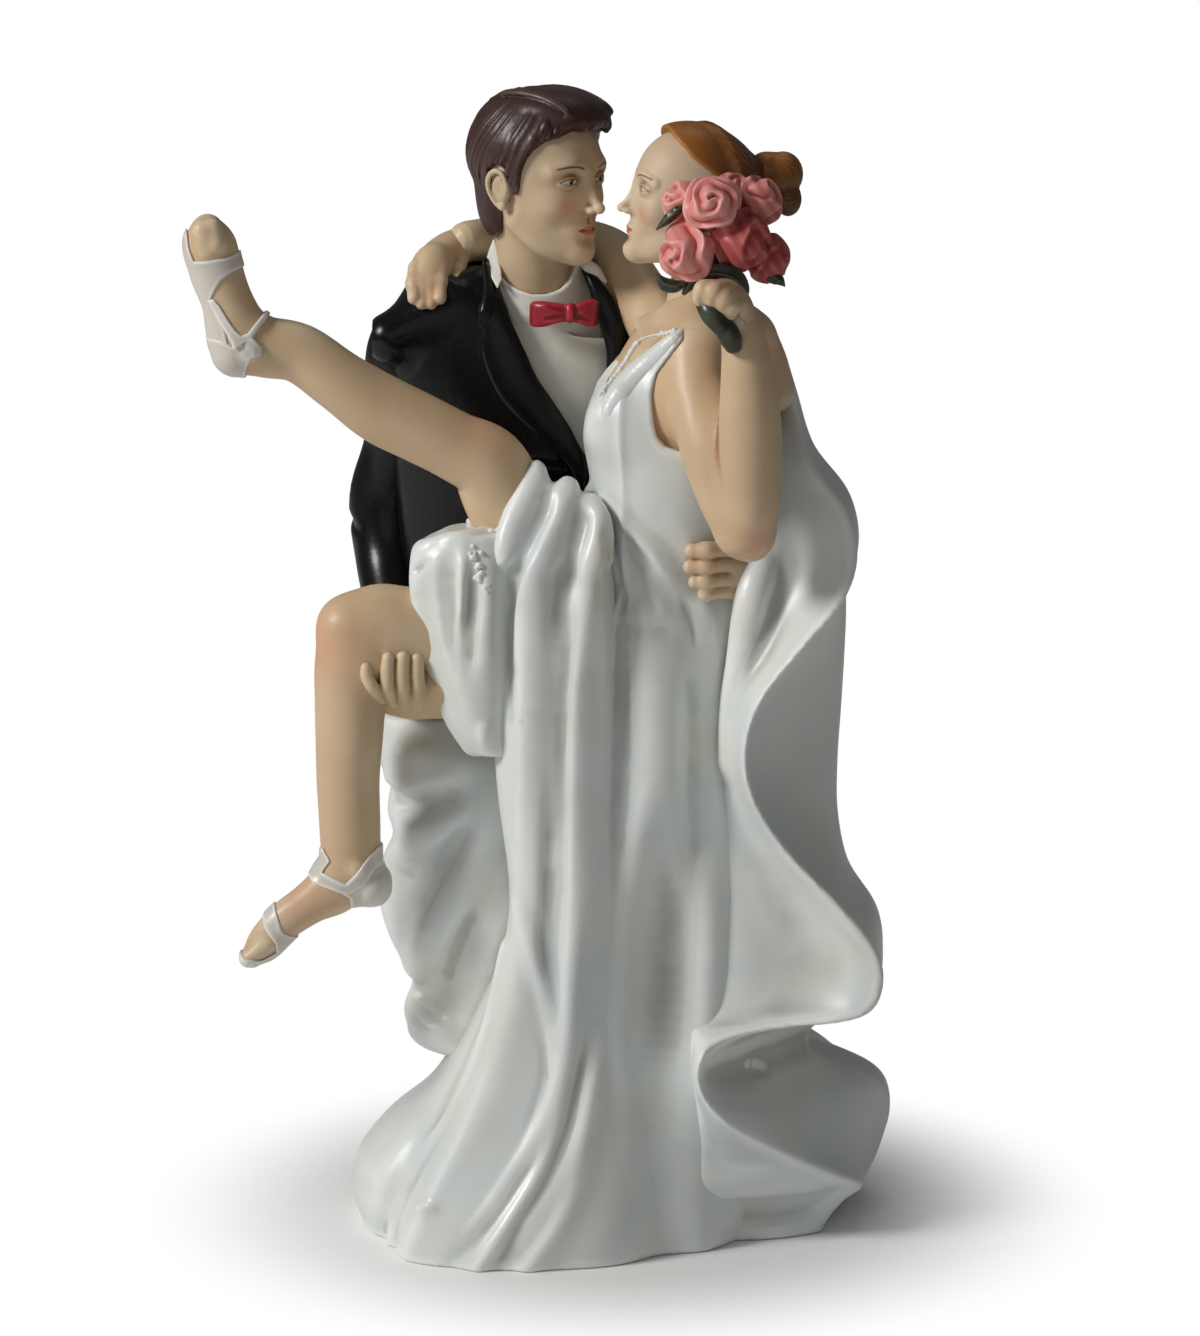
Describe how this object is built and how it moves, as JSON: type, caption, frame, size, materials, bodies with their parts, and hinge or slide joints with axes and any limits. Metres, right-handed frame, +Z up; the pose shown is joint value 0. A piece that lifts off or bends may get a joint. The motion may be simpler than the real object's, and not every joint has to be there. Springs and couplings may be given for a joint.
{
  "type": "wedding cake topper",
  "caption": "Cast cake topper: a groom in a dark suit lifts his bride, whose legs kick to the side and whose gown and train reach the base.",
  "frame": {"origin": "point of the flat underside of the gown, below the middle of the figures", "axes": "+Z up from the standing face, +X to the bride's side with the train, +Y away from the viewer, towards the groom's back"},
  "size_m": [0.0888, 0.0561, 0.1454],
  "materials": {
    "skin_paint": "satin skin-tone paint on cast resin",
    "suit_paint": "glossy black paint on cast resin",
    "shirt_paint": "matt off-white paint on cast resin",
    "bow_paint": "crimson paint on cast resin",
    "groom_hair_paint": "dark brown paint on combed resin",
    "bride_hair_paint": "auburn paint on combed resin",
    "gown_paint": "pearl white paint on cast resin",
    "sandal_paint": "milky white paint on cast resin",
    "rose_paint": "pink paint on cast resin",
    "leaf_paint": "very dark green paint on cast resin"
  },
  "bodies": {
    "root": {"beaded_strap": "gown_paint", "bouquet_leaf_1": "leaf_paint", "bouquet_leaf_2": "leaf_paint", "bouquet_leaf_3": "leaf_paint", "bouquet_leaf_4": "leaf_paint", "bouquet_stem": "leaf_paint", "bow_tie": "bow_paint", "bride_bun": "bride_hair_paint", "bride_hair": "bride_hair_paint", "bride_head": "skin_paint", "bride_left_arm": "skin_paint", "bride_left_hand": "skin_paint", "bride_lower_leg": "skin_paint", "bride_raised_leg": "skin_paint", "bride_right_arm": "skin_paint", "bride_right_hand": "skin_paint", "bride_shoulders": "skin_paint", "dress_back_folds": "gown_paint", "dress_bodice": "gown_paint", "dress_front_drape": "gown_paint", "dress_side_drape": "gown_paint", "dress_skirt": "gown_paint", "dress_train": "gown_paint", "garter_frill": "gown_paint", "groom_collar": "shirt_paint", "groom_hair": "groom_hair_paint", "groom_head": "skin_paint", "groom_left_hand": "skin_paint", "groom_right_hand": "skin_paint", "jacket_body": "suit_paint", "lapel_left": "suit_paint", "lapel_right": "suit_paint", "lower_sandal_heel": "sandal_paint", "lower_sandal_strap": "sandal_paint", "lower_sandal_vamp": "sandal_paint", "near_strap": "gown_paint", "raised_sandal_heel": "sandal_paint", "raised_sandal_strap": "sandal_paint", "raised_sandal_vamp": "sandal_paint", "rose_front_left": "rose_paint", "rose_front_right": "rose_paint", "rose_outer_right": "rose_paint", "rose_spiral": "rose_paint", "rose_top": "rose_paint", "rose_upper_left": "rose_paint", "rose_upper_right": "rose_paint", "shirt_front": "shirt_paint", "shoe_left": "suit_paint", "shoe_right": "suit_paint", "sleeve_left": "suit_paint", "sleeve_right": "suit_paint", "trouser_leg_left": "suit_paint", "trouser_leg_right": "suit_paint"}
  },
  "joints": []
}
